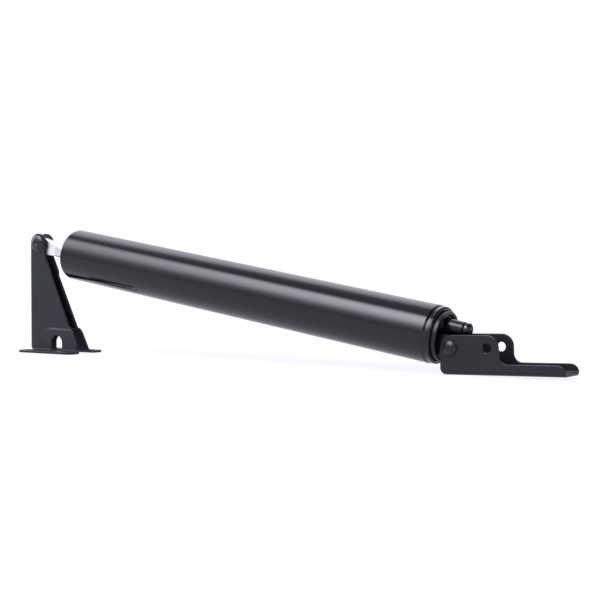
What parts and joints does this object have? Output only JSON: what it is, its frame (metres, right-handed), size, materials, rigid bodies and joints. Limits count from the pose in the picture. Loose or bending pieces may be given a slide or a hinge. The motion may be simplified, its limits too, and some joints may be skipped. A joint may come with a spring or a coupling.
{
  "type": "pneumatic door closer",
  "caption": "Pneumatic door closer: spring-loaded tube on a sliding rod, pivoting jamb bracket, speed-setting screw and a hold-open lever with a foot tab.",
  "frame": {"origin": "middle of the jamb bracket's screw holes, on its mounting face", "axes": "+Z away from the mounting face, +X along the closer towards the hold-open lever, +Y across it, away from the jamb pin's head"},
  "size_m": [0.3737, 0.032, 0.0786],
  "materials": {
    "jamb_bracket": "satin black",
    "jamb_pin": "satin black",
    "jamb_pin_ring": "blackened spring steel",
    "piston_rod": "bright zinc plating",
    "rod_bushing": "natural nylon",
    "felt_wiper": "oiled felt",
    "front_washer": "zinc plated",
    "stop_sleeve": "moulded",
    "main_spring": "oiled spring steel",
    "spring_seat": "zinc plated",
    "piston": "moulded acetal",
    "piston_cup_seal": "smooth",
    "piston_back_washer": "zinc plated",
    "piston_nut": "zinc plated",
    "cylinder_tube": "gloss black",
    "end_plug": "satin black casting",
    "end_plug_seal": "smooth",
    "valve_seal": "smooth",
    "valve_screw": "black oxide",
    "hold_open_lever": "satin black",
    "lever_rivet": "satin black"
  },
  "bodies": {
    "bracket": {"jamb_bracket": "jamb_bracket", "jamb_pin": "jamb_pin", "jamb_pin_ring": "jamb_pin_ring"},
    "rod": {"piston_rod": "piston_rod", "spring_seat": "spring_seat", "piston": "piston", "piston_cup_seal": "piston_cup_seal", "piston_back_washer": "piston_back_washer", "piston_nut": "piston_nut", "main_spring": "main_spring"},
    "cylinder": {"cylinder_tube": "cylinder_tube", "rod_bushing": "rod_bushing", "felt_wiper": "felt_wiper", "front_washer": "front_washer", "stop_sleeve": "stop_sleeve", "end_plug": "end_plug", "end_plug_seal": "end_plug_seal"},
    "valve_carrier": {"valve_seal": "valve_seal"},
    "valve_screw": {"valve_screw": "valve_screw"},
    "lever": {"hold_open_lever": "hold_open_lever", "lever_rivet": "lever_rivet"}
  },
  "joints": [
    {"name": "jamb_pivot", "type": "hinge", "parent": "bracket", "child": "rod", "pos_m": [-0.01535, 0, 0.0704], "axis": [0, -1, 0], "range_deg": [-20, 165]},
    {"name": "rod_slide", "type": "slide", "parent": "rod", "child": "cylinder", "axis": [0.9866, 0, -0.1634], "range_m": [0, 0.165], "stiffness_N_per_m": 360, "springref_m": -0.165, "deforming": ["main_spring"]},
    {"name": "lever_pivot", "type": "hinge", "parent": "cylinder", "child": "lever", "pos_m": [0.28696, 0, 0.0141], "axis": [0, -1, 0], "range_deg": [-22, 80]},
    {"name": "valve_travel", "type": "slide", "parent": "cylinder", "child": "valve_carrier", "axis": [0.9866, 0, -0.1634], "range_m": [-0.0004, 0.0008]},
    {"name": "valve_turn", "type": "hinge", "parent": "valve_carrier", "child": "valve_screw", "pos_m": [0.29096, 0, 0.02352], "axis": [0.9866, 0, -0.1634], "range_deg": [-180, 360]}
  ],
  "couplings": [
    {"joint": "valve_turn", "follows": "valve_travel", "rad_per_m": 7854}
  ]
}
